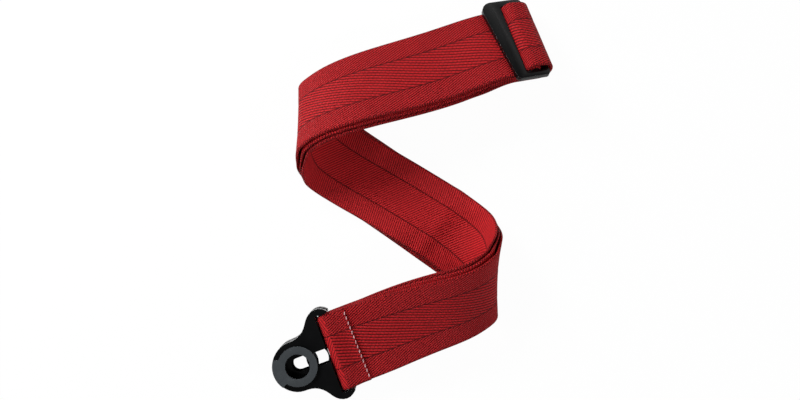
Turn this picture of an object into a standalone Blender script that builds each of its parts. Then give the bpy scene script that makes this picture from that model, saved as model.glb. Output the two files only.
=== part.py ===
"""Folded shoulder strap: woven webbing, a three-bar slider and two self-locking button locks.

The strap is folded in half at the slider, so lock B lies under lock A, and the doubled strap lies in a Z.
Units are metres, +Z is up, and the surface that it lies on is z = 0.
"""

import math

import bmesh
import bpy
import numpy as np
from mathutils import Matrix, Vector

MM = 0.001
CLEARANCE = 0.3 * MM

# Webbing
WEBBING_WIDTH = 50.0 * MM
WEBBING_THICKNESS = 2.0 * MM
PLY_PITCH = 2.35 * MM
OUTER_BEND_GAP = 2.0 * MM
INNER_BEND_GAP = 0.6 * MM
FAN_PER_PLY = 1.5 * MM
ARM_STEP = 4.6 * MM
FLAT_HALF_LENGTH = 25.0 * MM
EDGE_REACH = 2

# The middle of the whole strap's box in plan, which becomes the origin, in millimetres.
STRAP_MIDDLE = (7.43, 1.43, 0.0)

# Middle line of run 1 from the slider to lock A, in millimetres from the strap's middle, with the
# direction and the rise of its width in degrees: x, y, z, direction, rise.
ARM_STATIONS = [
    (34.0, 89.0, 26.0, -71, 22),
    (0.0, 78.2, 30.0, -72, 23.5),
    (-25.0, 70.9, 33.5, -74, 28.5),
    (-44.0, 64.0, 34.5, -76.5, 33.5),
    (-55.5, 58.8, 32.0, -79.5, 37),
    (-64.0, 53.5, 26.5, -82, 39),
    (-65.7, 48.3, 18.8, -85, 35),
    (-61.0, 43.5, 13.8, -94, 26),
    (-54.0, 38.0, 8.0, -104.5, 11.5),
    (-46.0, 31.5, 3.6, -115.5, 4),
    (-34.0, 23.0, 1.0, -124, 0),
    (0.0, 0.0, 1.0, -126, 0),
    (34.0, -24.0, 1.0, -124, 0),
    (45.0, -32.0, 3.8, -117, -4),
    (53.2, -39.0, 8.6, -108, -13),
    (58.7, -45.0, 14.2, -95.5, -26),
    (62.3, -50.5, 19.0, -85.5, -34),
    (61.4, -55.7, 26.5, -81, -37),
    (54.0, -61.0, 32.0, -79, -37),
    (42.0, -66.5, 33.5, -75, -33),
    (22.0, -73.5, 29.5, -71, -26),
    (0.0, -81.5, 23.0, -70, -17),
    (-18.0, -88.7, 17.0, -69.7, -8),
]

# Slider: its own x runs away from the arm, y along the bars and z out of its top face.
SLIDER_PLACE = (77.6, 102.6, 23.2)
SLIDER_WIDTH_DIRECTION = -71.6
SLIDER_WIDTH_RISE = 25.0
SLIDER_DROP = 16.0
SLIDER_LENGTH = 60.0 * MM
SLIDER_THICKNESS = 3.2 * MM
SLIDER_RIGHT_EDGE = 8.6 * MM
SLIDER_LEFT_EDGE_WIDE = -20.0 * MM
SLIDER_LEFT_EDGE_NARROW = -13.4 * MM
CENTRE_BAR_RADIUS = 1.6 * MM
LEFT_SLOT_EDGE = -6.8 * MM
RIGHT_SLOT_EDGE = 4.6 * MM
SLOT_HALF_LENGTH = 25.7 * MM

# Lock: its own x runs from the dial to the webbing bar, and z = 0 is the face on the instrument.
LOCK_PLACE = (-65.4, -106.4)
LOCK_TURN = 20.3
LOCK_PITCH = 11.2 * MM
BAR_X = 26.0 * MM
BAR_Z = 4.5 * MM
BAR_RADIUS = 2.2 * MM
LOOP_RADIUS = BAR_RADIUS + CLEARANCE + WEBBING_THICKNESS / 2
EAR_INNER_Y = 25.8 * MM
SLOT_NEAR_X = 20.9 * MM
HEAD_RADIUS = 16.4 * MM
CAVITY_RADIUS = 12.2 * MM
CAVITY_TOP = 7.3 * MM
BASE_BOTTOM = 1.9 * MM
BASE_TOP = 8.4 * MM
PLATE_THICKNESS = 1.6 * MM
COLLAR_RADIUS = 10.3 * MM
NECK_RADIUS = 4.5 * MM
ENTRY_X = 12.4 * MM
ENTRY_RADIUS = 7.8 * MM
WINDOW_HALF_WIDTH = 4.6 * MM
DIAL_HOLE_RADIUS = 8.0 * MM
DIAL_RADIUS = 12.9 * MM
DIAL_TAB_RADIUS = 16.2 * MM
DIAL_TAB_HALF_ANGLE = 35.0
DIAL_BOTTOM = 8.7 * MM
DIAL_TOP = 10.7 * MM
LATCH_INNER_RADIUS = 8.2 * MM
LATCH_OUTER_RADIUS = 9.9 * MM
LATCH_FROM_ANGLE = -15.0
LATCH_TO_ANGLE = 214.0
LATCH_TOP = 8.4 * MM
BLADE_BOTTOM = 2.2 * MM
BLADE_TOP = 3.5 * MM
BLADE_EDGE_X = 5.9 * MM
BLADE_HALF_ANGLE = 35.0
SPRING_RADIUS = 11.05 * MM
SPRING_COIL_RADIUS = 0.7 * MM
SPRING_WIRE_RADIUS = 0.18 * MM
SPRING_Z = 5.2 * MM
SPRING_FROM_ANGLE = 80.0
SPRING_TO_ANGLE = 200.0
SPRING_TURNS = 15
SCREW_PLACES = [(-8.2, 11.6), (-8.2, -11.6), (11.0, 15.2), (11.0, -15.2)]
SCREW_RADIUS = 0.9 * MM
SCREW_HEAD_RADIUS = 1.6 * MM
SCREW_LENGTH = 4.6 * MM

# Half outline of the lock's body in millimetres, from the back of the head to the tip of the ear.
LOCK_FLARE = [(4.0, 16.6), (8.6, 18.6), (12.3, 22.2), (15.4, 26.6), (19.6, 29.6), (25.0, 29.9), (29.2, 27.2)]


def clear_scene():
    for thing in list(bpy.data.objects):
        bpy.data.objects.remove(thing, do_unlink=True)


def new_collection(name):
    collection = bpy.data.collections.new(name)
    bpy.context.scene.collection.children.link(collection)
    return collection


def new_material(name, colour, roughness, metallic=0.0):
    material = bpy.data.materials.new(name)
    material.use_nodes = True
    shader = material.node_tree.nodes["Principled BSDF"]
    shader.inputs["Base Color"].default_value = (*colour, 1.0)
    shader.inputs["Roughness"].default_value = roughness
    shader.inputs["Metallic"].default_value = metallic
    return material


clear_scene()
PARTS = new_collection("folded_shoulder_strap")
CUTTERS = new_collection("cutters")
RED_WEBBING = new_material("red_webbing", (0.50, 0.018, 0.028), 0.62)
PALE_THREAD = new_material("pale_thread", (0.62, 0.30, 0.30), 0.7)
BLACK_NYLON = new_material("black_nylon", (0.012, 0.013, 0.014), 0.38)
GREY_NYLON = new_material("grey_nylon", (0.085, 0.092, 0.098), 0.42)
SPRING_STEEL = new_material("spring_steel", (0.55, 0.55, 0.56), 0.3, 1.0)


def add_object(name, data, collection=PARTS, material=None):
    thing = bpy.data.objects.new(name, data)
    collection.objects.link(thing)
    if material is not None:
        data.materials.append(material)
    return thing


def add_cutter(cutter):
    for collection in list(cutter.users_collection):
        collection.objects.unlink(cutter)
    CUTTERS.objects.link(cutter)
    cutter.hide_render = True
    cutter.display_type = "WIRE"


def boolean(target, tool, operation):
    """Cut a tool out of an object, or join it on, with an exact Boolean."""
    add_cutter(tool)
    modifier = target.modifiers.new(f"{operation.lower()}_{tool.name}", "BOOLEAN")
    modifier.operation = operation
    modifier.solver = "EXACT"
    modifier.object = tool


def box(name, low, high):
    mesh = bpy.data.meshes.new(name)
    bm = bmesh.new()
    bmesh.ops.create_cube(bm, size=1.0)
    size = Vector(high) - Vector(low)
    middle = (Vector(high) + Vector(low)) / 2
    bmesh.ops.transform(bm, verts=bm.verts, matrix=Matrix.Translation(middle) @ Matrix.Diagonal((*size, 1.0)))
    bm.to_mesh(mesh)
    bm.free()
    return add_object(name, mesh)


def cylinder(name, radius, low, high, centre=(0.0, 0.0), segments=36):
    mesh = bpy.data.meshes.new(name)
    bm = bmesh.new()
    bmesh.ops.create_cone(
        bm,
        cap_ends=True,
        segments=segments,
        radius1=radius,
        radius2=radius,
        depth=high - low,
        matrix=Matrix.Translation((centre[0], centre[1], (low + high) / 2)),
    )
    bm.to_mesh(mesh)
    bm.free()
    return add_object(name, mesh)


def flat_outline(name, points, low, high):
    """A closed outline in the plane, filled and given its height, as a welded mesh."""
    curve = bpy.data.curves.new(name, "CURVE")
    curve.dimensions = "2D"
    curve.fill_mode = "BOTH"
    curve.extrude = (high - low) / 2
    spline = curve.splines.new("POLY")
    spline.points.add(len(points) - 1)
    for point, place in zip(spline.points, points):
        point.co = (place[0], place[1], 0.0, 1.0)
    spline.use_cyclic_u = True
    guide = add_object(name + "_outline", curve)
    guide.location.z = (low + high) / 2
    bpy.context.view_layer.update()
    evaluated = guide.evaluated_get(bpy.context.evaluated_depsgraph_get())
    mesh = bpy.data.meshes.new_from_object(evaluated)
    bm = bmesh.new()
    bm.from_mesh(mesh)
    bmesh.ops.remove_doubles(bm, verts=bm.verts, dist=0.00001)
    bmesh.ops.transform(bm, verts=bm.verts, matrix=guide.matrix_world)
    bmesh.ops.recalc_face_normals(bm, faces=bm.faces)
    bm.to_mesh(mesh)
    bm.free()
    bpy.data.objects.remove(guide, do_unlink=True)
    return add_object(name, mesh)


def bevel(thing, width, segments=2, angle=40.0):
    modifier = thing.modifiers.new("edge_rounding", "BEVEL")
    modifier.width = width
    modifier.segments = segments
    modifier.limit_method = "ANGLE"
    modifier.angle_limit = math.radians(angle)
    modifier.use_clamp_overlap = True


def arc(centre, radius, start, end, count):
    """Points on an arc, from one angle in degrees to another."""
    angles = np.radians(np.linspace(start, end, count))
    return [(centre[0] + radius * math.cos(a), centre[1] + radius * math.sin(a)) for a in angles]


def rounded_polygon(corners, radii, steps=6):
    """An outline through corners, each rounded by its own radius."""
    points = []
    for index, (corner, radius) in enumerate(zip(corners, radii)):
        here = Vector(corner)
        before = (Vector(corners[index - 1]) - here).normalized()
        after = (Vector(corners[(index + 1) % len(corners)]) - here).normalized()
        half = before.angle(after) / 2
        reach = radius / math.tan(half)
        centre = here + (before + after).normalized() * (radius / math.sin(half))
        first = here + before * reach - centre
        last = here + after * reach - centre
        for step in range(steps + 1):
            blend = first.lerp(last, step / steps).normalized() * radius
            points.append(tuple(centre + blend))
    return points


def spline_through(rows, distances):
    """A natural cubic spline through rows of numbers, as a function of the distance along them."""
    rows = np.asarray(rows, dtype=float)
    gaps = np.diff(distances)
    count = len(rows)
    system = np.eye(count)
    right = np.zeros_like(rows)
    for i in range(1, count - 1):
        system[i, i - 1] = gaps[i - 1]
        system[i, i] = 2 * (gaps[i - 1] + gaps[i])
        system[i, i + 1] = gaps[i]
        slopes = (rows[i + 1] - rows[i]) / gaps[i] - (rows[i] - rows[i - 1]) / gaps[i - 1]
        right[i] = 6 * slopes
    bends = np.linalg.solve(system, right)

    def read(places):
        index = np.clip(np.searchsorted(distances, places) - 1, 0, count - 2)
        gap = gaps[index][:, None]
        after = (np.asarray(places) - distances[index])[:, None]
        before = gap - after
        smooth = (bends[index] * before**3 + bends[index + 1] * after**3) / (6 * gap)
        low = (rows[index] / gap - bends[index] * gap / 6) * before
        high = (rows[index + 1] / gap - bends[index + 1] * gap / 6) * after
        return smooth + low + high

    return read


def chord_distances(points):
    steps = np.linalg.norm(np.diff(np.asarray(points, dtype=float), axis=0), axis=1)
    return np.concatenate([[0.0], np.cumsum(steps)])


def unit(vectors):
    vectors = np.asarray(vectors, dtype=float)
    return vectors / np.linalg.norm(vectors, axis=-1, keepdims=True)


def smooth_step(value):
    value = np.clip(value, 0.0, 1.0)
    return value * value * (3 - 2 * value)


def width_direction(direction, rise):
    """The unit vector across the webbing, from its direction in plan and its rise, in degrees."""
    direction = math.radians(direction)
    rise = math.radians(rise)
    flat = math.cos(rise)
    return (flat * math.cos(direction), flat * math.sin(direction), math.sin(rise))


def slider_matrix():
    across = np.array(width_direction(SLIDER_WIDTH_DIRECTION, SLIDER_WIDTH_RISE))
    down = -math.sin(math.radians(SLIDER_DROP))
    level = unit(np.array([-across[1], across[0], 0.0]))
    steep = np.cross(across, level)
    lift = (down - level[2]) / steep[2]
    along = level * math.sqrt(1 - lift**2) + steep * lift
    up = np.cross(along, -across)
    place = (np.array(SLIDER_PLACE) - STRAP_MIDDLE) * MM
    columns = np.column_stack([along, -across, up, place])
    return Matrix([list(row) for row in columns] + [[0.0, 0.0, 0.0, 1.0]])


def lock_matrix(level):
    x, y = (np.array(LOCK_PLACE) - STRAP_MIDDLE[:2]) * MM
    place = Matrix.Translation((x, y, level))
    return place @ Matrix.Rotation(math.radians(LOCK_TURN), 4, "Z")


SLIDER_FRAME = slider_matrix()
LOCK_B_FRAME = lock_matrix(0.0)
LOCK_A_FRAME = lock_matrix(LOCK_PITCH)


def section_points(frame, places):
    """Points of a path drawn in the x and z of a slider or lock frame, in millimetres."""
    return [np.array(frame @ Vector((x * MM, 0.0, z * MM))) for x, z in places]


# The webbing's paths round the slider's bars, in the slider's x and z, in millimetres.
UNDER_BAR_Z = -(SLIDER_THICKNESS / 2 + CLEARANCE + WEBBING_THICKNESS / 2) / MM
PITCH = PLY_PITCH / MM
CORNER = (LEFT_SLOT_EDGE / MM, -SLIDER_THICKNESS / MM / 2)
TURN_RADIUS = (CLEARANCE + WEBBING_THICKNESS / 2) / MM
BAR_LOOP_RADIUS = (CENTRE_BAR_RADIUS + CLEARANCE + WEBBING_THICKNESS / 2) / MM
OVER_LOOP_RADIUS = BAR_LOOP_RADIUS + PITCH
FOLD_RADIUS = 7.3
FOLD_CENTRE = (4.6, UNDER_BAR_Z + 7.65 - FOLD_RADIUS)
FOLD_BOTTOM_Z = FOLD_CENTRE[1] - FOLD_RADIUS


def slider_top_path():
    """Run 1 under the left bar, up the left slot, over the centre bar's loop and round the right bar."""
    path = arc(CORNER, TURN_RADIUS, -90, -20, 5)
    path += arc((0.0, 0.0), OVER_LOOP_RADIUS, 178, 95, 8)
    path += arc(FOLD_CENTRE, FOLD_RADIUS, 80, -82, 14)
    return path


def slider_fold_path():
    """Run 2 from the bottom of the fold, back under the slider."""
    return arc(FOLD_CENTRE, FOLD_RADIUS, -90, -90, 1) + [(1.0, FOLD_BOTTOM_Z), (-3.5, FOLD_BOTTOM_Z)]


def slider_loop_path():
    """Run 3 up the left slot, over the centre bar, down the right slot and back below itself."""
    path = arc(CORNER, TURN_RADIUS + PITCH, -90, -15, 5)
    path += arc((0.0, 0.0), BAR_LOOP_RADIUS, 172, -45, 16)
    path += [(0.2, -3.9), (-2.2, -5.75)]
    path += arc(CORNER, TURN_RADIUS + 2 * PITCH + 0.05, -66, -90, 3)
    return path


def averaged(values, reach):
    """Values along the arms, each made the average of its neighbours within reach."""
    window = 2 * reach + 1
    return np.convolve(np.pad(values, reach, mode="edge"), np.ones(window) / window, mode="valid")


def eased(points, reach):
    """Points along the arms with their kinks averaged away, and both ends left where they are."""
    smooth = np.column_stack([averaged(component, reach) for component in points.T])
    steps = np.arange(len(points))
    inside = np.clip(np.minimum(steps, steps[::-1]) / (2.0 * reach), 0.0, 1.0)[:, None]
    return points * (1 - inside) + smooth * inside


def arm_frames():
    """The middle line of run 1 along the arms and bends, with its tangent, width and outward normal."""
    lead_in = section_points(SLIDER_FRAME, [(CORNER[0], UNDER_BAR_Z), (CORNER[0] - 9.0, UNDER_BAR_Z)])
    lead_out = section_points(LOCK_A_FRAME, [(BAR_X / MM + 11.0, 1.5), (BAR_X / MM, 1.0)])
    stations = [(np.array(row[:3]) - STRAP_MIDDLE) * MM for row in ARM_STATIONS]
    slider_width = width_direction(SLIDER_WIDTH_DIRECTION, SLIDER_WIDTH_RISE)
    lock_width = width_direction(LOCK_TURN - 90, 0.0)
    widths = [slider_width] * 2 + [width_direction(*row[3:]) for row in ARM_STATIONS]
    widths += [width_direction(LOCK_TURN - 90, -2.0), lock_width]
    points = lead_in + stations + lead_out
    distances = chord_distances(points)
    count = int(distances[-1] / ARM_STEP)
    places = np.linspace(0.0, distances[-1], count)
    line = spline_through(points, distances)(places)
    tangent = unit(np.gradient(line, axis=0))
    width = spline_through(widths, distances)(places)
    width = unit(width - np.sum(width * tangent, axis=1, keepdims=True) * tangent)
    low_edge = eased(line - width * WEBBING_WIDTH / 2, EDGE_REACH)
    high_edge = eased(line + width * WEBBING_WIDTH / 2, EDGE_REACH)
    line = (low_edge + high_edge) / 2
    width = unit(high_edge - low_edge)
    tangent = unit(np.gradient(line, axis=0))
    from_crossing = line[:, :2] + np.array(STRAP_MIDDLE[:2]) * MM
    flat = np.hypot(*from_crossing.T) < FLAT_HALF_LENGTH
    width[flat, 2] = 0.0
    width = unit(width)
    normal = np.cross(tangent, width)
    normal[flat] = (0.0, 0.0, -1.0)
    reach = np.abs(width[:, 2]) * WEBBING_WIDTH / 2 + WEBBING_THICKNESS / 2
    line[:, 2] = np.maximum(line[:, 2], reach)
    line[flat, 2] = WEBBING_THICKNESS / 2
    return line, width, normal, chord_distances(line)


LINE, WIDTH, NORMAL, ALONG = arm_frames()
ARM_LENGTH = ALONG[-1]
FLAP_LENGTH = 24.0 * MM
LOCK_SPREAD = 30.0 * MM


def bend_amount():
    """1 in the middle of each bend, falling to 0 along the arms, from how steeply the run stands."""
    return averaged(np.clip(1 - np.abs(NORMAL[:, 2]) / 0.75, 0.0, 1.0), 3)


def twist_allowance():
    """How much further apart the plies lie where the run twists, so that their edges stay clear."""
    allowance = np.ones(len(LINE))
    for side in (-1, 1):
        edge = LINE + side * (WEBBING_WIDTH / 2 + 2 * FAN_PER_PLY) * WIDTH
        face = unit(np.cross(np.gradient(edge, axis=0), WIDTH))
        allowance = np.maximum(allowance, 1 / np.sum(face * NORMAL, axis=1))
    return averaged(allowance, 2)


BEND = bend_amount()
TWIST = twist_allowance()


def ply_depths():
    """How far runs 3 and 2 lie inside run 1 at each place along the arms."""
    near_lock = smooth_step((ALONG - (ARM_LENGTH - LOCK_SPREAD)) / LOCK_SPREAD)
    near_flap = 1 - smooth_step((ALONG - FLAP_LENGTH) / (16.0 * MM))
    stack = PLY_PITCH * TWIST + BEND * OUTER_BEND_GAP
    at_bar_b = LOCK_PITCH - 2 * LOOP_RADIUS
    third = stack * (1 - near_lock) + at_bar_b * near_lock
    inner_stack = stack + PLY_PITCH * TWIST + BEND * INNER_BEND_GAP + near_flap * PLY_PITCH
    second = inner_stack * (1 - near_lock) + LOCK_PITCH * near_lock
    return third, second


def ply_shifts():
    """How far runs 3 and 2 are fanned sideways: one way on the upper arm, the other on the lower."""
    from_slider = smooth_step(ALONG / (45.0 * MM))
    from_lock = smooth_step((ARM_LENGTH - ALONG) / (85.0 * MM))
    middle = ARM_LENGTH * 0.5
    side = np.clip((middle - ALONG) / (45.0 * MM), -1.0, 1.0)
    fan = side * from_slider * from_lock * (1 - 0.7 * BEND) * FAN_PER_PLY
    return fan, 2 * fan


DEPTH_3, DEPTH_2 = ply_depths()
SHIFT_3, SHIFT_2 = ply_shifts()


def inner_ply(depth, shift):
    return LINE - depth[:, None] * NORMAL + shift[:, None] * WIDTH


def webbing(name, points, widths, material=RED_WEBBING):
    """A flat strip bent along a line of points, then given the webbing's thickness."""
    points = np.asarray(points)
    widths = np.asarray(widths)
    mesh = bpy.data.meshes.new(name)
    bm = bmesh.new()
    columns = 2
    bmesh.ops.create_grid(bm, x_segments=len(points) - 1, y_segments=columns, size=0.5)
    for vertex in bm.verts:
        station = round((vertex.co.x + 0.5) * (len(points) - 1))
        vertex.co = Vector(points[station] + widths[station] * vertex.co.y * WEBBING_WIDTH)
    bm.to_mesh(mesh)
    bm.free()
    strip = add_object(name, mesh, material=material)
    thicken = strip.modifiers.new("thickness", "SOLIDIFY")
    thicken.thickness = WEBBING_THICKNESS
    thicken.offset = 0.0
    thicken.use_even_offset = False
    return strip


def path_with_width(frame, path, direction, rise):
    points = section_points(frame, path)
    return points, [np.array(width_direction(direction, rise))] * len(points)


def lock_loop(frame, start, end, count):
    """The webbing's path round a lock's bar, as angles seen along the bar, and its widths."""
    path = arc((BAR_X / MM, BAR_Z / MM), LOOP_RADIUS / MM, start, end, count)
    return path_with_width(frame, path, LOCK_TURN - 90, 0.0)


def make_webbing():
    slider_way = (SLIDER_WIDTH_DIRECTION, SLIDER_WIDTH_RISE)
    over, over_widths = path_with_width(SLIDER_FRAME, slider_top_path()[:0:-1], *slider_way)
    loop_a, loop_a_widths = lock_loop(LOCK_A_FRAME, -108, -270, 12)
    stitches_at = 12.5 * MM
    tail = [i for i in range(len(LINE)) if 0.5 * MM < ARM_LENGTH - ALONG[i] < stitches_at + 2 * MM][::-1]
    rest = smooth_step((ARM_LENGTH - ALONG[tail]) / stitches_at)
    rise = 2 * LOOP_RADIUS * (1 - rest) + PLY_PITCH * rest
    flap_a = LINE[tail] + rise[:, None] * NORMAL[tail]
    webbing(
        "webbing_run_1",
        over + list(LINE) + loop_a + list(flap_a),
        over_widths + list(WIDTH) + loop_a_widths + list(WIDTH[tail]),
    )
    fold, fold_widths = path_with_width(SLIDER_FRAME, slider_fold_path(), *slider_way)
    loop_b, loop_b_widths = lock_loop(LOCK_B_FRAME, -108, -180, 6)
    second = inner_ply(DEPTH_2, SHIFT_2)
    webbing("webbing_run_2", fold + list(second) + loop_b, fold_widths + list(WIDTH) + loop_b_widths)
    loop_back, loop_back_widths = lock_loop(LOCK_B_FRAME, -190, -252, 5)
    third = inner_ply(DEPTH_3, SHIFT_3)
    round_bar, round_bar_widths = path_with_width(SLIDER_FRAME, slider_loop_path()[1:], *slider_way)
    flap = [i for i in range(1, len(LINE)) if ALONG[i] < FLAP_LENGTH]
    flap_b = LINE[flap] - (2 * PLY_PITCH) * NORMAL[flap] + SHIFT_3[flap][:, None] * WIDTH[flap]
    webbing(
        "webbing_run_3",
        list(flap_b)[::-1] + round_bar[::-1] + list(third) + loop_back[::-1],
        list(WIDTH[flap])[::-1] + round_bar_widths[::-1] + list(WIDTH) + loop_back_widths[::-1],
    )
    return LINE[tail[-1]], WIDTH[tail[-1]], NORMAL[tail[-1]]


def make_stitches(place, width, normal):
    """The row of thread that closes the loop on lock A, lying on the end of the flap."""
    thread_radius = 0.25 * MM
    height = PLY_PITCH + WEBBING_THICKNESS / 2 + CLEARANCE + thread_radius
    curve = bpy.data.curves.new("lock_a_stitches", "CURVE")
    curve.dimensions = "3D"
    curve.bevel_depth = thread_radius
    curve.bevel_resolution = 1
    curve.use_fill_caps = True
    spline = curve.splines.new("POLY")
    spline.points.add(20)
    for index, point in enumerate(spline.points):
        across = (index / 20 - 0.5) * (WEBBING_WIDTH - 3 * MM)
        spot = Vector(place + width * across + normal * height)
        point.co = (*spot, 1.0)
    add_object("lock_a_stitches", curve, material=PALE_THREAD)


def make_slider():
    half = SLIDER_LENGTH / 2
    corners = [
        (SLIDER_RIGHT_EDGE, -half),
        (SLIDER_RIGHT_EDGE, half),
        (SLIDER_LEFT_EDGE_WIDE, half),
        (SLIDER_LEFT_EDGE_NARROW, -half),
    ]
    slider = flat_outline(
        "slider",
        rounded_polygon(corners, [2.4 * MM, 3.0 * MM, 7.0 * MM, 3.0 * MM]),
        -SLIDER_THICKNESS / 2,
        SLIDER_THICKNESS / 2,
    )
    slider.data.materials.append(BLACK_NYLON)
    slots = box(
        "slider_slots",
        (LEFT_SLOT_EDGE, -SLOT_HALF_LENGTH, -SLIDER_THICKNESS),
        (RIGHT_SLOT_EDGE, SLOT_HALF_LENGTH, SLIDER_THICKNESS),
    )
    boolean(slider, slots, "DIFFERENCE")
    centre_bar = cylinder(
        "slider_centre_bar", CENTRE_BAR_RADIUS, -SLOT_HALF_LENGTH - 1 * MM, SLOT_HALF_LENGTH + 1 * MM, segments=16
    )
    centre_bar.rotation_euler.x = math.radians(90)
    boolean(slider, centre_bar, "UNION")
    bevel(slider, 0.5 * MM, 2, 50)
    for thing in (slider, slots, centre_bar):
        thing.matrix_world = SLIDER_FRAME @ thing.matrix_basis


def lock_outline():
    """The body's outline: a round head that flares into two ears."""
    flare_points = [np.array(arc((0.0, 0.0), HEAD_RADIUS / MM, a, a, 1)[0]) for a in (180, 160, 140, 120, 104)]
    flare_points += [np.array(point) for point in LOCK_FLARE]
    distances = chord_distances(flare_points)
    read = spline_through(flare_points, distances)
    upper = read(np.linspace(0.0, distances[-1], 26)) * MM
    upper = [tuple(point) for point in upper]
    lower = [(x, -y) for x, y in upper[1:]]
    ear_end = (29.2 * MM, EAR_INNER_Y - 1 * MM)
    return upper + [ear_end, (ear_end[0], -ear_end[1])] + lower[::-1]


def make_lock(prefix, frame, swing_centre):
    """One button lock. Its fixed pieces hang on an empty on the bar's axis, its dial on the dial's own."""
    swing = bpy.data.objects.new(prefix + "_swing_axis", None)
    PARTS.objects.link(swing)
    swing.matrix_world = frame @ Matrix.Translation(swing_centre)
    turn = bpy.data.objects.new(prefix + "_dial_axis", None)
    PARTS.objects.link(turn)
    turn.matrix_world = frame
    fixed = [*make_lock_base(prefix), *make_keyhole_plate(prefix), make_return_spring(prefix), *make_screws(prefix)]
    moving = [make_latch(prefix), *make_dial(prefix)]
    for thing in fixed:
        thing.parent = swing
        thing.matrix_parent_inverse = Matrix.Translation(-Vector(swing_centre))
    for thing in moving:
        thing.parent = turn
    turn.parent = swing
    turn.matrix_parent_inverse = swing.matrix_world.inverted()


def make_lock_base(prefix):
    base = flat_outline(prefix + "_base", lock_outline(), BASE_BOTTOM, BASE_TOP)
    base.data.materials.append(BLACK_NYLON)
    gap = box(
        prefix + "_webbing_gap",
        (SLOT_NEAR_X, -EAR_INNER_Y, -5 * MM),
        (40 * MM, EAR_INNER_Y, 20 * MM),
    )
    cavity = cylinder(prefix + "_cavity", CAVITY_RADIUS, 0.0, CAVITY_TOP)
    collar = cylinder(prefix + "_collar_hole", COLLAR_RADIUS, 0.0, 20 * MM)
    entry = cylinder(prefix + "_entry_chamber", ENTRY_RADIUS, 0.0, CAVITY_TOP, (ENTRY_X, 0.0))
    window = box(
        prefix + "_window",
        (8 * MM, -WINDOW_HALF_WIDTH, -5 * MM),
        (25 * MM, WINDOW_HALF_WIDTH, 20 * MM),
    )
    bar = cylinder(prefix + "_bar", BAR_RADIUS, -EAR_INNER_Y - 1.5 * MM, EAR_INNER_Y + 1.5 * MM, segments=20)
    bar.matrix_basis = Matrix.Translation((BAR_X, 0.0, BAR_Z)) @ Matrix.Rotation(math.radians(90), 4, "X")
    screw_holes = []
    for index, (x, y) in enumerate(SCREW_PLACES):
        hole = cylinder(
            f"{prefix}_screw_hole_{index + 1}",
            SCREW_RADIUS + CLEARANCE,
            0.0,
            SCREW_LENGTH + 0.8 * MM,
            (x * MM, y * MM),
            segments=12,
        )
        screw_holes.append(hole)
    for tool in (gap, cavity, collar, entry, window, *screw_holes):
        boolean(base, tool, "DIFFERENCE")
    boolean(base, bar, "UNION")
    return [base, gap, cavity, collar, entry, window, bar, *screw_holes]


def make_keyhole_plate(prefix):
    """The plate on the instrument side, with the entry hole, the channel and the neck seat."""
    plate = flat_outline(prefix + "_keyhole_plate", lock_outline(), 0.0, PLATE_THICKNESS)
    plate.data.materials.append(BLACK_NYLON)
    keep = box(prefix + "_plate_area", (-20 * MM, -17.6 * MM, -1 * MM), (SLOT_NEAR_X, 17.6 * MM, 3 * MM))
    boolean(plate, keep, "INTERSECT")
    seat = cylinder(prefix + "_neck_seat", NECK_RADIUS, -1 * MM, 3 * MM, segments=32)
    channel = box(prefix + "_neck_channel", (0.0, -NECK_RADIUS, -1 * MM), (ENTRY_X, NECK_RADIUS, 3 * MM))
    entry = cylinder(prefix + "_entry_hole", ENTRY_RADIUS, -1 * MM, 3 * MM, (ENTRY_X, 0.0))
    tools = [keep, seat, channel, entry]
    for tool in tools[1:]:
        boolean(plate, tool, "DIFFERENCE")
    for index, (x, y) in enumerate(SCREW_PLACES):
        place = (x * MM, y * MM)
        hole = cylinder(f"{prefix}_plate_hole_{index + 1}", SCREW_RADIUS + CLEARANCE, -1 * MM, 3 * MM, place, 12)
        sink = cylinder(
            f"{prefix}_plate_sink_{index + 1}", SCREW_HEAD_RADIUS + CLEARANCE, -1 * MM, 0.9 * MM, place, 12
        )
        boolean(plate, hole, "DIFFERENCE")
        boolean(plate, sink, "DIFFERENCE")
        tools += [hole, sink]
    return [plate, *tools]


def make_latch(prefix):
    """The latch: a C-shaped collar that hangs from the dial and carries the blade that shuts the channel."""
    wall = flat_outline(
        prefix + "_latch",
        arc((0.0, 0.0), LATCH_OUTER_RADIUS, LATCH_FROM_ANGLE, LATCH_TO_ANGLE, 28)
        + arc((0.0, 0.0), LATCH_INNER_RADIUS, LATCH_TO_ANGLE, LATCH_FROM_ANGLE, 28),
        BLADE_BOTTOM,
        LATCH_TOP,
    )
    wall.data.materials.append(BLACK_NYLON)
    half_edge = BLADE_EDGE_X * math.tan(math.radians(BLADE_HALF_ANGLE))
    inner_edge = [(BLADE_EDGE_X + 0.45 * MM, half_edge), (BLADE_EDGE_X, 0.0), (BLADE_EDGE_X + 0.45 * MM, -half_edge)]
    blade = flat_outline(
        prefix + "_blade",
        arc((0.0, 0.0), LATCH_OUTER_RADIUS - 0.2 * MM, -BLADE_HALF_ANGLE, BLADE_HALF_ANGLE, 12) + inner_edge,
        BLADE_BOTTOM + 0.05 * MM,
        BLADE_TOP,
    )
    boolean(wall, blade, "UNION")
    blade.parent = wall
    return wall


def make_dial(prefix):
    """The grey ring with its thumb tab."""
    tab_from = 180 - DIAL_TAB_HALF_ANGLE
    tab_to = 180 + DIAL_TAB_HALF_ANGLE
    rim = arc((0.0, 0.0), DIAL_TAB_RADIUS, tab_from, tab_to, 10)
    rim += arc((0.0, 0.0), DIAL_RADIUS, tab_to + 3, tab_from - 3 + 360, 30)
    dial = flat_outline(prefix + "_dial", rim, DIAL_BOTTOM, DIAL_TOP)
    dial.data.materials.append(GREY_NYLON)
    hole = cylinder(prefix + "_dial_hole", DIAL_HOLE_RADIUS, 0.0, 20 * MM)
    boolean(dial, hole, "DIFFERENCE")
    bevel(dial, 0.3 * MM, 1, 50)
    return [dial, hole]


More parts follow.
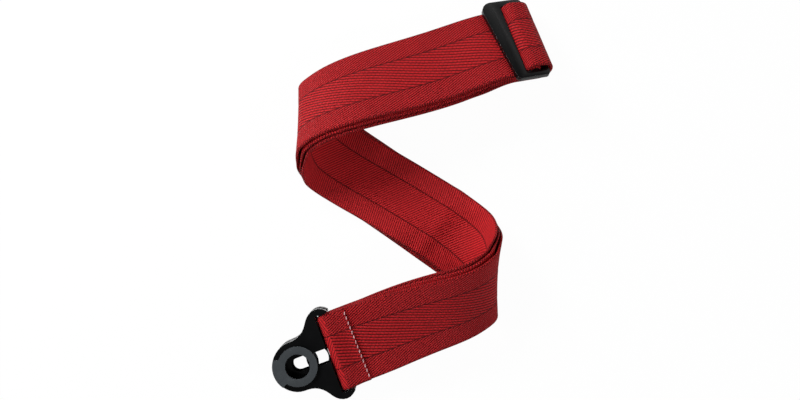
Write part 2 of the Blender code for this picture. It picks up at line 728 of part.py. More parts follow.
def make_return_spring(prefix):
    """A long coil spring laid round the collar, from the body's wall to the latch's end."""
    curve = bpy.data.curves.new(prefix + "_return_spring", "CURVE")
    curve.dimensions = "3D"
    curve.bevel_depth = SPRING_WIRE_RADIUS
    curve.bevel_resolution = 0
    curve.use_fill_caps = True
    spline = curve.splines.new("POLY")
    count = SPRING_TURNS * 6
    spline.points.add(count)
    for index, point in enumerate(spline.points):
        share = index / count
        angle = math.radians(SPRING_FROM_ANGLE + (SPRING_TO_ANGLE - SPRING_FROM_ANGLE) * share)
        coil = share * SPRING_TURNS * math.tau
        radius = SPRING_RADIUS + SPRING_COIL_RADIUS * math.cos(coil)
        height = SPRING_Z + SPRING_COIL_RADIUS * math.sin(coil)
        point.co = (radius * math.cos(angle), radius * math.sin(angle), height, 1.0)
    return add_object(prefix + "_return_spring", curve, material=SPRING_STEEL)


def make_screws(prefix):
    """The four small screws that hold the keyhole plate to the base."""
    profile = [(0.0, SCREW_LENGTH), (SCREW_RADIUS, SCREW_LENGTH), (SCREW_RADIUS, 0.7 * MM)]
    profile += [(SCREW_HEAD_RADIUS, 0.7 * MM), (SCREW_HEAD_RADIUS, 0.1 * MM), (0.0, 0.1 * MM)]
    mesh = bpy.data.meshes.new(prefix + "_screw")
    bm = bmesh.new()
    corners = [bm.verts.new((x, 0.0, z)) for x, z in profile]
    for first, second in zip(corners, corners[1:]):
        bm.edges.new((first, second))
    bm.to_mesh(mesh)
    bm.free()
    mesh.materials.append(SPRING_STEEL)
    screws = []
    for index, (x, y) in enumerate(SCREW_PLACES):
        screw = add_object(f"{prefix}_screw_{index + 1}", mesh)
        screw.location = (x * MM, y * MM, 0.0)
        turned = screw.modifiers.new("turned", "SCREW")
        turned.axis = "Z"
        turned.steps = 12
        turned.render_steps = 12
        turned.use_merge_vertices = True
        turned.merge_threshold = 0.00001
        screws.append(screw)
    return screws


make_stitches(*make_webbing())
make_slider()
BAR_CENTRE = (BAR_X, 0.0, BAR_Z)
make_lock("lock_a", LOCK_A_FRAME, BAR_CENTRE)
make_lock("lock_b", LOCK_B_FRAME, BAR_CENTRE)
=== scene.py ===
import math

import bmesh
import bpy
import numpy as np
from mathutils import Matrix, Vector


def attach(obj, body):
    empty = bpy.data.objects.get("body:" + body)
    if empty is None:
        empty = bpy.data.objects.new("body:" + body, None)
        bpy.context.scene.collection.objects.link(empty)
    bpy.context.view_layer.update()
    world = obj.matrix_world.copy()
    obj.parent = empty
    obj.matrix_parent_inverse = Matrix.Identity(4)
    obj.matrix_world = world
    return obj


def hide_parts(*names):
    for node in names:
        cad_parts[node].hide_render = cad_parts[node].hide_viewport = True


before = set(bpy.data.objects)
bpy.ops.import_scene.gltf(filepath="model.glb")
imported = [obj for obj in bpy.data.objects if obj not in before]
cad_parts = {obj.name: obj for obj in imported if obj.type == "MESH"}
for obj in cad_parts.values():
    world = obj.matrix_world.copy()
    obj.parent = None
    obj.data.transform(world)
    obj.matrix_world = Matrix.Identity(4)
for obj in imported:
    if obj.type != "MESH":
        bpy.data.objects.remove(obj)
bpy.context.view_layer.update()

# ---------------------------------------------------------------------------------------------
# Studio: a pale table top seen from straight above, which the camera sees as white. A small soft
# light is close on the upper left, a weaker one is on the right, and a low one on the left lights
# the edges. The room is pale, and darkest overhead.

MM = 0.001
STRAP_MIDDLE = (7.43, 1.43, 0.0)
table_centre = (-STRAP_MIDDLE[0] * MM, -STRAP_MIDDLE[1] * MM)
CAMERA_HEIGHT = 0.7
TABLE_HALF_WIDTH = 3.0
TABLE_DROP = 0.0002
TABLE_GLOW_SHARE = 0.97

camera = bpy.data.objects.new("camera", bpy.data.cameras.new("camera"))
camera.data.sensor_width = 36.0
camera.data.lens = 47.9
camera.data.clip_start = 0.01
camera.location = (*table_centre, CAMERA_HEIGHT)
bpy.context.scene.collection.objects.link(camera)
bpy.context.scene.camera = camera

table_mesh = bpy.data.meshes.new("table_top")
bm = bmesh.new()
bmesh.ops.create_grid(bm, x_segments=1, y_segments=1, size=TABLE_HALF_WIDTH)
bmesh.ops.translate(bm, verts=bm.verts, vec=(0.0, 0.0, -TABLE_DROP))
bm.to_mesh(table_mesh)
bm.free()
table_top = bpy.data.objects.new("table_top", table_mesh)
bpy.context.scene.collection.objects.link(table_top)

paper = bpy.data.materials.new("white_paper")
paper.use_nodes = True
nodes, links = paper.node_tree.nodes, paper.node_tree.links
paint = nodes["Principled BSDF"]
paint.inputs["Base Color"].default_value = (0.86, 0.86, 0.86, 1.0)
paint.inputs["Roughness"].default_value = 0.9
glow = nodes.new("ShaderNodeEmission")
glow.inputs["Color"].default_value = (1.0, 1.0, 1.0, 1.0)
rays = nodes.new("ShaderNodeLightPath")
seen = nodes.new("ShaderNodeMath")
seen.operation = "MULTIPLY"
seen.inputs[1].default_value = TABLE_GLOW_SHARE
blend_shader = nodes.new("ShaderNodeMixShader")
links.new(rays.outputs["Is Camera Ray"], seen.inputs[0])
links.new(seen.outputs[0], blend_shader.inputs[0])
links.new(paint.outputs[0], blend_shader.inputs[1])
links.new(glow.outputs[0], blend_shader.inputs[2])
links.new(blend_shader.outputs[0], nodes["Material Output"].inputs["Surface"])
table_mesh.materials.append(paper)

world = bpy.data.worlds.new("pale_room")
world.use_nodes = True
nodes, links = world.node_tree.nodes, world.node_tree.links
nodes["Background"].inputs["Color"].default_value = (1.0, 1.0, 1.0, 1.0)
facing = nodes.new("ShaderNodeTexCoord")
height = nodes.new("ShaderNodeSeparateXYZ")
dimming = nodes.new("ShaderNodeMapRange")
dimming.inputs["From Max"].default_value = 0.75
dimming.inputs["To Min"].default_value = 0.55
dimming.inputs["To Max"].default_value = 0.07
links.new(facing.outputs["Generated"], height.inputs[0])
links.new(height.outputs["Z"], dimming.inputs["Value"])
links.new(dimming.outputs["Result"], nodes["Background"].inputs["Strength"])
bpy.context.scene.world = world
bpy.context.scene.view_settings.view_transform = "Standard"

for name, place, size, power in [
    ("window_light", (-0.48, 0.48, 0.50), 0.3, 7.6),
    ("fill_light", (0.8, -0.40, 0.8), 0.3, 5.0),
    ("edge_light", (-0.9, -0.35, 0.5), 0.25, 2.6),
]:
    lamp = bpy.data.objects.new(name, bpy.data.lights.new(name, "AREA"))
    lamp.data.size = size
    lamp.data.energy = power
    lamp.location = place
    lamp.rotation_euler = Vector(place).to_track_quat("Z", "Y").to_euler()
    bpy.context.scene.collection.objects.link(lamp)

# ---------------------------------------------------------------------------------------------
# Webbing: one strip of woven 50 mm polyester, cut once and folded in half at the slider. Its two
# ends are turned back, one round the upper lock's bar and one round the slider's middle bar.

WEBBING_WIDTH = 50.0 * MM
CAD_THICKNESS = 2.0 * MM
CLEARANCE = 0.3 * MM
PLY_PITCH = 2.35 * MM
OUTER_BEND_GAP = 2.0 * MM
INNER_BEND_GAP = 0.6 * MM
FAN_PER_PLY = 1.5 * MM
ARM_STEP = 4.6 * MM
FLAT_HALF_LENGTH = 25.0 * MM
EDGE_REACH = 2
FLAP_LENGTH = 24.0 * MM
LOCK_SPREAD = 30.0 * MM
FLAP_EASE = 16.0 * MM
FAN_RISE = 45.0 * MM
FAN_FALL = 85.0 * MM
FAN_LOST_IN_BENDS = 0.7
LEVEL_ENOUGH = 0.75

# The line of the outer ply from the slider to the upper lock, in millimetres from the middle of the
# fold, with the direction and the rise of its width in degrees: x, y, z, direction, rise.
ARM_STATIONS = [
    (34.0, 89.0, 26.0, -71, 22),
    (0.0, 78.2, 30.0, -72, 23.5),
    (-25.0, 70.9, 33.5, -74, 28.5),
    (-44.0, 64.0, 34.5, -76.5, 33.5),
    (-55.5, 58.8, 32.0, -79.5, 37),
    (-64.0, 53.5, 26.5, -82, 39),
    (-65.7, 48.3, 18.8, -85, 35),
    (-61.0, 43.5, 13.8, -94, 26),
    (-54.0, 38.0, 8.0, -104.5, 11.5),
    (-46.0, 31.5, 3.6, -115.5, 4),
    (-34.0, 23.0, 1.0, -124, 0),
    (0.0, 0.0, 1.0, -126, 0),
    (34.0, -24.0, 1.0, -124, 0),
    (45.0, -32.0, 3.8, -117, -4),
    (53.2, -39.0, 8.6, -108, -13),
    (58.7, -45.0, 14.2, -95.5, -26),
    (62.3, -50.5, 19.0, -85.5, -34),
    (61.4, -55.7, 26.5, -81, -37),
    (54.0, -61.0, 32.0, -79, -37),
    (42.0, -66.5, 33.5, -75, -33),
    (22.0, -73.5, 29.5, -71, -26),
    (0.0, -81.5, 23.0, -70, -17),
    (-18.0, -88.7, 17.0, -69.7, -8),
]
SLIDER_PLACE = (77.6, 102.6, 23.2)
SLIDER_WIDTH = (-71.6, 25.0)
SLIDER_DROP = 16.0
SLIDER_THICKNESS = 3.2 * MM
CENTRE_BAR_RADIUS = 1.6 * MM
LEFT_SLOT_EDGE = -6.8 * MM
LOCK_PLACE = (-65.4, -106.4)
LOCK_TURN = 20.3
LOCK_PITCH = 11.2 * MM
BAR_X = 26.0 * MM
BAR_Z = 4.5 * MM
LOOP_RADIUS = 2.2 * MM + CLEARANCE + CAD_THICKNESS / 2


def unit(vectors):
    vectors = np.asarray(vectors, dtype=float)
    return vectors / np.linalg.norm(vectors, axis=-1, keepdims=True)


def along(points):
    steps = np.linalg.norm(np.diff(np.asarray(points, dtype=float), axis=0), axis=1)
    return np.concatenate([[0.0], np.cumsum(steps)])


def smooth_step(value):
    value = np.clip(value, 0.0, 1.0)
    return value * value * (3 - 2 * value)


def arc(centre, radius, start, end, count):
    angles = np.radians(np.linspace(start, end, count))
    return [(centre[0] + radius * math.cos(a), centre[1] + radius * math.sin(a)) for a in angles]


def width_direction(direction, rise):
    direction, rise = math.radians(direction), math.radians(rise)
    return (
        math.cos(rise) * math.cos(direction),
        math.cos(rise) * math.sin(direction),
        math.sin(rise),
    )


def spline_through(rows, distances):
    """A natural cubic spline through rows of numbers, as a function of the distance along them."""
    rows = np.asarray(rows, dtype=float)
    gaps = np.diff(distances)
    count = len(rows)
    system = np.eye(count)
    right = np.zeros_like(rows)
    for i in range(1, count - 1):
        system[i, i - 1 : i + 2] = gaps[i - 1], 2 * (gaps[i - 1] + gaps[i]), gaps[i]
        right[i] = 6 * ((rows[i + 1] - rows[i]) / gaps[i] - (rows[i] - rows[i - 1]) / gaps[i - 1])
    bends = np.linalg.solve(system, right)

    def read(places):
        index = np.clip(np.searchsorted(distances, places) - 1, 0, count - 2)
        gap = gaps[index][:, None]
        after = (np.asarray(places) - distances[index])[:, None]
        before = gap - after
        smooth = (bends[index] * before**3 + bends[index + 1] * after**3) / (6 * gap)
        low = (rows[index] / gap - bends[index] * gap / 6) * before
        high = (rows[index + 1] / gap - bends[index + 1] * gap / 6) * after
        return smooth + low + high

    return read


def slider_matrix():
    across = np.array(width_direction(*SLIDER_WIDTH))
    down = -math.sin(math.radians(SLIDER_DROP))
    level = unit(np.array([-across[1], across[0], 0.0]))
    steep = np.cross(across, level)
    lift = (down - level[2]) / steep[2]
    lengthways = level * math.sqrt(1 - lift**2) + steep * lift
    up = np.cross(lengthways, -across)
    place = (np.array(SLIDER_PLACE) - STRAP_MIDDLE) * MM
    columns = np.column_stack([lengthways, -across, up, place])
    return Matrix([list(row) for row in columns] + [[0.0, 0.0, 0.0, 1.0]])


def lock_matrix(level):
    x, y = (np.array(LOCK_PLACE) - STRAP_MIDDLE[:2]) * MM
    return Matrix.Translation((x, y, level)) @ Matrix.Rotation(math.radians(LOCK_TURN), 4, "Z")


SLIDER_FRAME = slider_matrix()
LOCK_FRAMES = {"lock_a": lock_matrix(LOCK_PITCH), "lock_b": lock_matrix(0.0)}


def section_points(place, path):
    """Points drawn in the x and z of the slider or of a lock, in millimetres."""
    return [np.array(place @ Vector((x * MM, 0.0, z * MM))) for x, z in path]


# The paths round the slider's bars, in the slider's x and z, in millimetres.
UNDER_BAR_Z = -(SLIDER_THICKNESS / 2 + CLEARANCE + CAD_THICKNESS / 2) / MM
PITCH = PLY_PITCH / MM
CORNER = (LEFT_SLOT_EDGE / MM, -SLIDER_THICKNESS / MM / 2)
TURN_RADIUS = (CLEARANCE + CAD_THICKNESS / 2) / MM
BAR_LOOP_RADIUS = (CENTRE_BAR_RADIUS + CLEARANCE + CAD_THICKNESS / 2) / MM
FOLD_RADIUS = 7.3
FOLD_CENTRE = (4.6, UNDER_BAR_Z + 7.65 - FOLD_RADIUS)
FOLD_BOTTOM_Z = FOLD_CENTRE[1] - FOLD_RADIUS
top_path = arc(CORNER, TURN_RADIUS, -90, -20, 8)
top_path += arc((0.0, 0.0), BAR_LOOP_RADIUS + PITCH, 178, 95, 14)
top_path += arc(FOLD_CENTRE, FOLD_RADIUS, 80, -82, 28)
fold_path = arc(FOLD_CENTRE, FOLD_RADIUS, -90, -90, 1) + [(1.0, FOLD_BOTTOM_Z), (-3.5, FOLD_BOTTOM_Z)]
loop_path = arc(CORNER, TURN_RADIUS + PITCH, -90, -15, 8)
loop_path += arc((0.0, 0.0), BAR_LOOP_RADIUS, 172, -45, 28)
loop_path += [(0.2, -3.9), (-2.2, -5.75)]
loop_path += arc(CORNER, TURN_RADIUS + 2 * PITCH + 0.05, -66, -90, 3)


def averaged(values, reach):
    window = 2 * reach + 1
    return np.convolve(np.pad(values, reach, mode="edge"), np.ones(window) / window, mode="valid")


def eased(points, reach):
    """Points with their kinks averaged away, and both ends left where they are."""
    smooth = np.column_stack([averaged(component, reach) for component in points.T])
    steps = np.arange(len(points))
    inside = np.clip(np.minimum(steps, steps[::-1]) / (2.0 * reach), 0.0, 1.0)[:, None]
    return points * (1 - inside) + smooth * inside


lead_in = section_points(SLIDER_FRAME, [(CORNER[0], UNDER_BAR_Z), (CORNER[0] - 9.0, UNDER_BAR_Z)])
lead_out = section_points(LOCK_FRAMES["lock_a"], [(BAR_X / MM + 11.0, 1.5), (BAR_X / MM, 1.0)])
stations = [(np.array(row[:3]) - STRAP_MIDDLE) * MM for row in ARM_STATIONS]
lock_width = width_direction(LOCK_TURN - 90, 0.0)
station_widths = [width_direction(*SLIDER_WIDTH)] * 2
station_widths += [width_direction(*row[3:]) for row in ARM_STATIONS]
station_widths += [width_direction(LOCK_TURN - 90, -2.0), lock_width]
points = lead_in + stations + lead_out
distances = along(points)
places = np.linspace(0.0, distances[-1], int(distances[-1] / ARM_STEP))
line = spline_through(points, distances)(places)
tangent = unit(np.gradient(line, axis=0))
width = spline_through(station_widths, distances)(places)
width = unit(width - np.sum(width * tangent, axis=1, keepdims=True) * tangent)
low_edge = eased(line - width * WEBBING_WIDTH / 2, EDGE_REACH)
high_edge = eased(line + width * WEBBING_WIDTH / 2, EDGE_REACH)
line = (low_edge + high_edge) / 2
width = unit(high_edge - low_edge)
tangent = unit(np.gradient(line, axis=0))
from_crossing = line[:, :2] + np.array(STRAP_MIDDLE[:2]) * MM
flat = np.hypot(*from_crossing.T) < FLAT_HALF_LENGTH
width[flat, 2] = 0.0
width = unit(width)
normal = np.cross(tangent, width)
normal[flat] = (0.0, 0.0, -1.0)
line[:, 2] = np.maximum(line[:, 2], np.abs(width[:, 2]) * WEBBING_WIDTH / 2 + CAD_THICKNESS / 2)
line[flat, 2] = CAD_THICKNESS / 2
run = along(line)
arm_length = run[-1]

bend = averaged(np.clip(1 - np.abs(normal[:, 2]) / LEVEL_ENOUGH, 0.0, 1.0), 3)
twist = np.ones(len(line))
for side in (-1, 1):
    edge = line + side * (WEBBING_WIDTH / 2 + 2 * FAN_PER_PLY) * width
    face = unit(np.cross(np.gradient(edge, axis=0), width))
    twist = np.maximum(twist, 1 / np.sum(face * normal, axis=1))
twist = averaged(twist, 2)
near_lock = smooth_step((run - (arm_length - LOCK_SPREAD)) / LOCK_SPREAD)
near_flap = 1 - smooth_step((run - FLAP_LENGTH) / FLAP_EASE)
stack = PLY_PITCH * twist + bend * OUTER_BEND_GAP
depth_3 = stack * (1 - near_lock) + (LOCK_PITCH - 2 * LOOP_RADIUS) * near_lock
stack_2 = stack + PLY_PITCH * twist + bend * INNER_BEND_GAP + near_flap * PLY_PITCH
depth_2 = stack_2 * (1 - near_lock) + LOCK_PITCH * near_lock
side_way = np.clip((arm_length * 0.5 - run) / FAN_RISE, -1.0, 1.0)
fan = side_way * smooth_step(run / FAN_RISE) * smooth_step((arm_length - run) / FAN_FALL)
fan = fan * (1 - FAN_LOST_IN_BENDS * bend) * FAN_PER_PLY

FINE_STEP = 1.5 * MM
fine_run = np.linspace(0.0, arm_length, int(arm_length / FINE_STEP))


def ply(depth, shift):
    """The middle line of one ply along the arms, in fine steps, and its width directions."""
    coarse = line - depth[:, None] * normal + shift[:, None] * width
    return spline_through(coarse, run)(fine_run), unit(spline_through(width, run)(fine_run))


def part_way(path, place, direction, rise):
    spots = np.array(section_points(place, path))
    return spots, np.tile(width_direction(direction, rise), (len(spots), 1))


def bar_loop(prefix, start, end, count):
    path = arc((BAR_X / MM, BAR_Z / MM), LOOP_RADIUS / MM, start, end, count)
    return part_way(path, LOCK_FRAMES[prefix], LOCK_TURN - 90, 0.0)


def reversed_way(way):
    return way[0][::-1], way[1][::-1]


STITCHES_AT = 12.5 * MM
TAIL_PAST_STITCHES = 2.6 * MM
fine_line, fine_width = ply(depth_3 * 0, depth_3 * 0)
fine_normal = unit(spline_through(normal, run)(fine_run))
from_end = arm_length - fine_run
tail = np.nonzero((from_end > 0.5 * MM) & (from_end < STITCHES_AT + TAIL_PAST_STITCHES))[0]
rest = smooth_step(from_end[tail] / STITCHES_AT)
rise = 2 * LOOP_RADIUS * (1 - rest) + PLY_PITCH * rest
flap_a = (fine_line[tail] + rise[:, None] * fine_normal[tail], fine_width[tail])
head = np.nonzero((fine_run > 1.0 * MM) & (fine_run < FLAP_LENGTH))[0]
fine_fan = np.interp(fine_run, run, fan)
flap_shift = fine_fan[head][:, None] * fine_width[head]
flap_b_line = fine_line[head] - 2 * PLY_PITCH * fine_normal[head] + flap_shift
flap_b = (flap_b_line, fine_width[head])

ways = [
    (flap_a, 1.0),
    (reversed_way(bar_loop("lock_a", -108, -270, 20)), 0.0),
    (reversed_way((fine_line, fine_width)), 0.0),
    (part_way(top_path[1:], SLIDER_FRAME, *SLIDER_WIDTH), 0.0),
    (part_way(fold_path, SLIDER_FRAME, *SLIDER_WIDTH), 1.0),
    (ply(depth_2, 2 * fan), 1.0),
    (bar_loop("lock_b", -108, -252, 18), 1.0),
    (reversed_way(ply(depth_3, fan)), 1.0),
    (part_way(loop_path[1:], SLIDER_FRAME, *SLIDER_WIDTH), 1.0),
    (flap_b, 1.0),
]
strip_line = np.vstack([way[0] for way, _ in ways])
strip_width = np.vstack([way[1] for way, _ in ways])
strip_turned = np.concatenate([np.full(len(way[0]), turned) for way, turned in ways])
strip_run = along(strip_line)
strip_normal = -unit(np.cross(unit(np.gradient(strip_line, axis=0)), strip_width))

# The strip's section: two woven faces, thinner at the seams between the weave's three zones, and
# rounded selvedges.
WOVEN_THICKNESS = 1.85 * MM
ZONE_EDGE = 11.0 * MM
SEAM_DIP = 0.10 * MM
SEAM_SPREAD = 1.2 * MM
FACE_EDGE = 24.2
FACE_COLUMNS = 23
HALF_WIDTH = 25.0 * MM
SHOULDER_ACROSS = 24.72 * MM
SHOULDER_HEIGHT = 0.66 * MM
faces_across = np.linspace(-FACE_EDGE, FACE_EDGE, FACE_COLUMNS) * MM
dip = SEAM_DIP * np.exp(-(((np.abs(faces_across) - ZONE_EDGE) / SEAM_SPREAD) ** 2))
half_height = WOVEN_THICKNESS / 2 - dip
section = [(HALF_WIDTH, 0.0), (SHOULDER_ACROSS, SHOULDER_HEIGHT)]
section += [(a, h) for a, h in zip(faces_across[::-1], half_height[::-1])]
section += [(-SHOULDER_ACROSS, SHOULDER_HEIGHT), (-HALF_WIDTH, 0.0), (-SHOULDER_ACROSS, -SHOULDER_HEIGHT)]
section += [(a, -h) for a, h in zip(faces_across, half_height)]
section += [(SHOULDER_ACROSS, -SHOULDER_HEIGHT), (HALF_WIDTH, 0.0)]

RIM_MERGE = 0.000001
strip_mesh = bpy.data.meshes.new("webbing_strip")
bm = bmesh.new()
rows, columns = len(strip_line), len(section)
bmesh.ops.create_grid(bm, x_segments=rows - 1, y_segments=columns - 1, size=0.5)
fine_side = bm.faces.layers.float.new("fine_side")
weave_map = bm.loops.layers.uv.new("weave")
grid_place = {}
for vertex in bm.verts:
    row = round((vertex.co.x + 0.5) * (rows - 1))
    column = round((vertex.co.y + 0.5) * (columns - 1))
    across, height = section[column]
    vertex.co = Vector(strip_line[row] + strip_width[row] * across + strip_normal[row] * height)
    grid_place[vertex] = (row, column)
for bm_face in bm.faces:
    corners = [grid_place[vertex] for vertex in bm_face.verts]
    back = min(column for _, column in corners) >= columns // 2
    turned = strip_turned[min(row for row, _ in corners)]
    bm_face[fine_side] = abs(back - turned)
    for loop in bm_face.loops:
        row, column = grid_place[loop.vert]
        loop[weave_map].uv = (strip_run[row] * (-1 if back else 1), section[column][0])
    bm_face.smooth = True
bmesh.ops.remove_doubles(bm, verts=bm.verts, dist=RIM_MERGE)
bmesh.ops.holes_fill(bm, edges=bm.edges, sides=0)
bmesh.ops.recalc_face_normals(bm, faces=bm.faces)
bm.to_mesh(strip_mesh)
bm.free()
webbing_strip = bpy.data.objects.new("webbing_strip", strip_mesh)
bpy.context.scene.collection.objects.link(webbing_strip)


def new_node(tree, kind, **settings):
    node = tree.nodes.new(kind)
    for key, value in settings.items():
        setattr(node, key, value)
    return node


def maths(tree, operation, first, second=None, third=None):
    """One Math node; each input is a number or another node's output."""
    node = new_node(tree, "ShaderNodeMath", operation=operation)
    for socket, value in zip(node.inputs, (first, second, third)):
        if isinstance(value, (int, float)):
            socket.default_value = value
        elif value is not None:
            tree.links.new(value, socket)
    return node.outputs[0]


def mix_colours(tree, share, first, second):
    node = new_node(tree, "ShaderNodeMix", data_type="RGBA")
    for socket, value in ((node.inputs[0], share), (node.inputs[6], first), (node.inputs[7], second)):
        if isinstance(value, tuple):
            socket.default_value = (*value, 1.0)
        else:
            tree.links.new(value, socket)
    return node.outputs[2]


def twill_group():
    """Ribs of twill across one zone, and the floats of yarn along each rib. Both outputs run 0 to 1."""
    group = bpy.data.node_groups.new("twill_ribs", "ShaderNodeTree")
    defaults = {"Along": 0.0, "Across": 0.0, "Slant": 18.0, "Rib Pitch": 2.0, "Float": 2.4}
    for name, default in defaults.items():
        socket = group.interface.new_socket(name, in_out="INPUT", socket_type="NodeSocketFloat")
        socket.default_value = default
    for name in ("Height", "Yarn"):
        group.interface.new_socket(name, in_out="OUTPUT", socket_type="NodeSocketFloat")
    inputs = group.nodes.new("NodeGroupInput").outputs
    outputs = group.nodes.new("NodeGroupOutput").inputs
    slant = maths(group, "RADIANS", inputs["Slant"])
    cosine = maths(group, "COSINE", slant)
    sine = maths(group, "SINE", slant)
    across_part = maths(group, "MULTIPLY", inputs["Across"], cosine)
    over_ribs = maths(group, "MULTIPLY_ADD", inputs["Along"], sine, across_part)
    rib = maths(group, "DIVIDE", over_ribs, inputs["Rib Pitch"])
    ridge = maths(group, "ABSOLUTE", maths(group, "SINE", maths(group, "MULTIPLY", rib, math.pi)))
    group.links.new(maths(group, "POWER", ridge, 1.1), outputs["Height"])
    along_part = maths(group, "MULTIPLY", inputs["Along"], cosine)
    across_part = maths(group, "MULTIPLY", inputs["Across"], sine)
    down_rib = maths(group, "SUBTRACT", along_part, across_part)
    stagger = maths(group, "MULTIPLY", maths(group, "FLOOR", rib), 0.37)
    beat = maths(group, "ADD", maths(group, "DIVIDE", down_rib, inputs["Float"]), stagger)
    yarn = maths(group, "ABSOLUTE", maths(group, "SINE", maths(group, "MULTIPLY", beat, math.pi)))
    group.links.new(maths(group, "POWER", yarn, 0.5), outputs["Yarn"])
    return group


twill_ribs = twill_group()


def twill(tree, along_mm, across_mm, slant, pitch, yarn_float):
    node = new_node(tree, "ShaderNodeGroup", node_tree=twill_ribs)
    tree.links.new(along_mm, node.inputs["Along"])
    tree.links.new(across_mm, node.inputs["Across"])
    node.inputs["Slant"].default_value = slant
    node.inputs["Rib Pitch"].default_value = pitch
    node.inputs["Float"].default_value = yarn_float
    return node.outputs["Height"], node.outputs["Yarn"]


def mixed(tree, share, first, second):
    node = new_node(tree, "ShaderNodeMix", data_type="FLOAT")
    for socket, value in ((node.inputs[0], share), (node.inputs[2], first), (node.inputs[3], second)):
        tree.links.new(value, socket)
    return node.outputs[0]


SELVEDGE_FROM = 24.0
SEAM_WIDTH = 0.6
red_weave = bpy.data.materials.new("red_weave")
red_weave.use_nodes = True
tree = red_weave.node_tree
shader = tree.nodes["Principled BSDF"]
weave_uv = new_node(tree, "ShaderNodeUVMap", uv_map="weave")
axes = new_node(tree, "ShaderNodeSeparateXYZ")
tree.links.new(weave_uv.outputs[0], axes.inputs[0])
along_mm = maths(tree, "MULTIPLY", axes.outputs[0], 1000.0)
across_mm = maths(tree, "MULTIPLY", axes.outputs[1], 1000.0)
from_middle = maths(tree, "ABSOLUTE", across_mm)
fine = new_node(tree, "ShaderNodeAttribute", attribute_name="fine_side").outputs["Fac"]
in_middle = maths(tree, "LESS_THAN", from_middle, ZONE_EDGE / MM)
on_fine = maths(tree, "GREATER_THAN", fine, 0.5)
wide_rib, wide_yarn = twill(tree, along_mm, across_mm, -19.0, 1.95, 2.6)
side_rib, side_yarn = twill(tree, along_mm, across_mm, 22.0, 1.35, 1.9)
back_rib, back_yarn = twill(tree, along_mm, across_mm, 58.0, 1.5, 3.0)
back_side_rib, back_side_yarn = twill(tree, along_mm, across_mm, -74.0, 1.4, 4.0)
front_rib = mixed(tree, in_middle, side_rib, wide_rib)
front_yarn = mixed(tree, in_middle, side_yarn, wide_yarn)
inner_rib = mixed(tree, in_middle, back_side_rib, back_rib)
inner_yarn = mixed(tree, in_middle, back_side_yarn, back_yarn)
rib = mixed(tree, on_fine, front_rib, maths(tree, "MULTIPLY_ADD", inner_rib, 0.75, 0.25))
yarn = mixed(tree, on_fine, front_yarn, maths(tree, "MULTIPLY_ADD", inner_yarn, 0.4, 0.6))
seam_distance = maths(tree, "ABSOLUTE", maths(tree, "SUBTRACT", from_middle, ZONE_EDGE / MM))
seam_fade = maths(tree, "DIVIDE", seam_distance, SEAM_WIDTH)
seam = maths(tree, "SUBTRACT", 1.0, maths(tree, "SMOOTH_MIN", seam_fade, 1.0, 0.1))
seam = maths(tree, "MAXIMUM", seam, 0.0)
selvedge_rib, selvedge_yarn = twill(tree, along_mm, across_mm, 52.0, 1.25, 1.25)
on_selvedge = maths(tree, "GREATER_THAN", from_middle, SELVEDGE_FROM)
relief = mixed(tree, on_selvedge, rib, maths(tree, "MULTIPLY", selvedge_rib, selvedge_yarn))
relief = maths(tree, "MULTIPLY", relief, maths(tree, "MULTIPLY_ADD", yarn, 0.42, 0.58))
relief = maths(tree, "MULTIPLY", relief, maths(tree, "MULTIPLY_ADD", seam, -0.95, 1.0))
coordinates = new_node(tree, "ShaderNodeTexCoord")
fading = new_node(tree, "ShaderNodeTexNoise")
fading.inputs["Scale"].default_value = 38.0
fading.inputs["Detail"].default_value = 3.0
tree.links.new(coordinates.outputs["Object"], fading.inputs["Vector"])
fibre = new_node(tree, "ShaderNodeTexNoise")
fibre.inputs["Scale"].default_value = 1500.0
fibre.inputs["Detail"].default_value = 2.0
tree.links.new(coordinates.outputs["Object"], fibre.inputs["Vector"])
crest = mix_colours(tree, fading.outputs[0], (0.37, 0.006, 0.009), (0.52, 0.010, 0.013))
crest = mix_colours(tree, maths(tree, "MULTIPLY", fibre.outputs[0], 0.25), crest, (0.66, 0.035, 0.04))
# The finer back face's crests are mixed a quarter of the way to a lighter red: painted light on that face.
crest = mix_colours(tree, maths(tree, "MULTIPLY", fine, 0.25), crest, (0.72, 0.022, 0.028))
# The crests keep the strap's red. The gaps between ribs and floats and the seams between zones are mixed
# towards near black: painted shade in the weave's hollows.
red_with_groove_shade = mix_colours(tree, relief, (0.028, 0.001, 0.002), crest)
tree.links.new(red_with_groove_shade, shader.inputs["Base Color"])
rough = maths(tree, "MULTIPLY_ADD", relief, -0.16, 0.78)
tree.links.new(rough, shader.inputs["Roughness"])
shader.inputs["Specular IOR Level"].default_value = 0.12
shader.inputs["Sheen Weight"].default_value = 0.02
shader.inputs["Sheen Roughness"].default_value = 0.4
shader.inputs["Sheen Tint"].default_value = (1.0, 0.5, 0.5, 1.0)
raised = maths(tree, "MULTIPLY_ADD", fibre.outputs[0], 0.12, relief)
bump = new_node(tree, "ShaderNodeBump")
bump.inputs["Strength"].default_value = 0.85
bump.inputs["Distance"].default_value = 0.0006
tree.links.new(raised, bump.inputs["Height"])
tree.links.new(bump.outputs[0], shader.inputs["Normal"])
strip_mesh.materials.append(red_weave)

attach(webbing_strip, "strap")
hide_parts("webbing_run_1", "webbing_run_2", "webbing_run_3")

# ---------------------------------------------------------------------------------------------
# Stitches: pale polyester thread, lockstitched along the strap's cut end to close the loop on the upper
# lock's bar. Each stitch slants a little and is half sunk in the cloth.

THREAD_RADIUS = 0.38 * MM
STITCH_PITCH = 3.3 * MM
STITCH_LENGTH = 2.5 * MM
STITCH_LEAN = 0.30
ROW_HALF_WIDTH = 24.4 * MM


